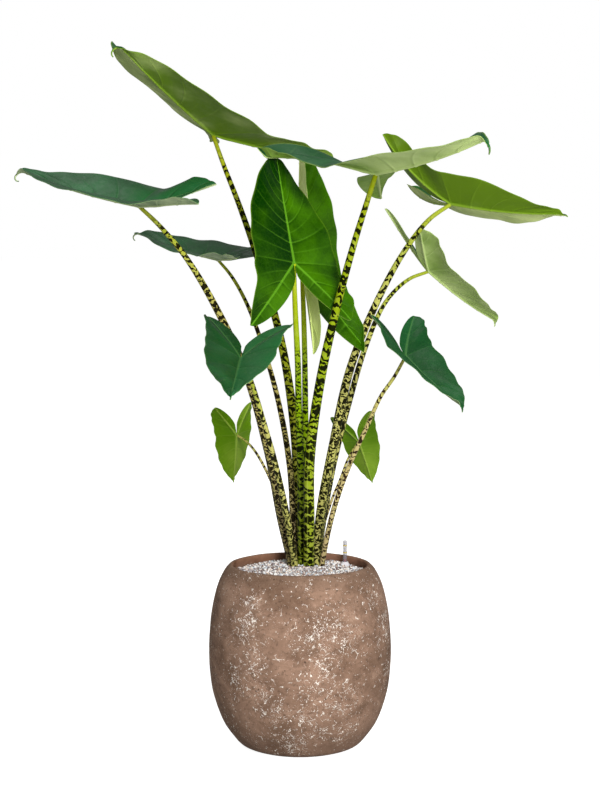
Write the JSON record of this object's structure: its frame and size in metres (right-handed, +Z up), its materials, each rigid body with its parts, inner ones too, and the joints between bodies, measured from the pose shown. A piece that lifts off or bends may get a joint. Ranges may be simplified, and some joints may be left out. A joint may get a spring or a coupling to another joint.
{
  "type": "potted alocasia",
  "caption": "Zebra alocasia with arrow-shaped leaves on tall banded stems in a rounded stone-look planter, with a gravel top and a water-level gauge.",
  "frame": {"origin": "middle of the planter's underside, at the floor", "axes": "+Z up, -Y to the front of the picture, +X to its right"},
  "size_m": [1.0096, 0.781, 1.2883],
  "materials": {
    "pot": "matt grey-brown mineral coat, trowelled and pitted, with white flecks and scratches",
    "substrate": "loose mineral granulate, damp",
    "rootstock": "rough brown corky rootstock",
    "gravel": "3 to 6 mm angular grains, white to blue-grey with some brown",
    "patterned_stem": "satin yellow-green tissue with irregular black cross bars",
    "bright_stem": "satin lime-green tissue with fine dark mottle",
    "tan_stem": "satin pale tan-green tissue with brown-black blotches",
    "dark_blade": "waxy dark blue-green leaf tissue with a thin pale margin",
    "bright_blade": "glossy bright green leaf tissue with yellow-green ribs",
    "mid_blade": "waxy green leaf tissue, paler underneath",
    "gauge_housing": "pale grey moulded plastic",
    "gauge_tube": "clear plastic tube with two yellow marks",
    "gauge_float": "red plastic float and rod"
  },
  "bodies": {
    "planter": {"pot": "pot", "substrate": "substrate", "rootstock": "rootstock", "stem_high_left": "patterned_stem", "blade_high_left": "mid_blade", "stem_high_right": "patterned_stem", "blade_high_right": "mid_blade", "stem_wide_left": "patterned_stem", "blade_wide_left": "dark_blade", "stem_back_left": "patterned_stem", "blade_back_left": "dark_blade", "stem_front_upright": "bright_stem", "blade_front_upright": "bright_blade", "stem_folded_upright": "bright_stem", "blade_folded_upright": "bright_blade", "stem_wide_right": "patterned_stem", "blade_wide_right": "mid_blade", "stem_back_right": "patterned_stem", "blade_back_right": "mid_blade", "stem_small_right": "tan_stem", "blade_small_right": "dark_blade", "stem_small_left": "patterned_stem", "blade_small_left": "dark_blade", "stem_low_left": "tan_stem", "blade_low_left": "mid_blade", "stem_low_right": "tan_stem", "blade_low_right": "mid_blade", "gravel": "gravel", "gauge_housing": "gauge_housing", "gauge_tube": "gauge_tube"},
    "float": {"gauge_float": "gauge_float"}
  },
  "joints": [
    {"name": "float_rise", "type": "slide", "parent": "planter", "child": "float", "axis": [0, 0, 1], "range_m": [0, 0.032]}
  ]
}
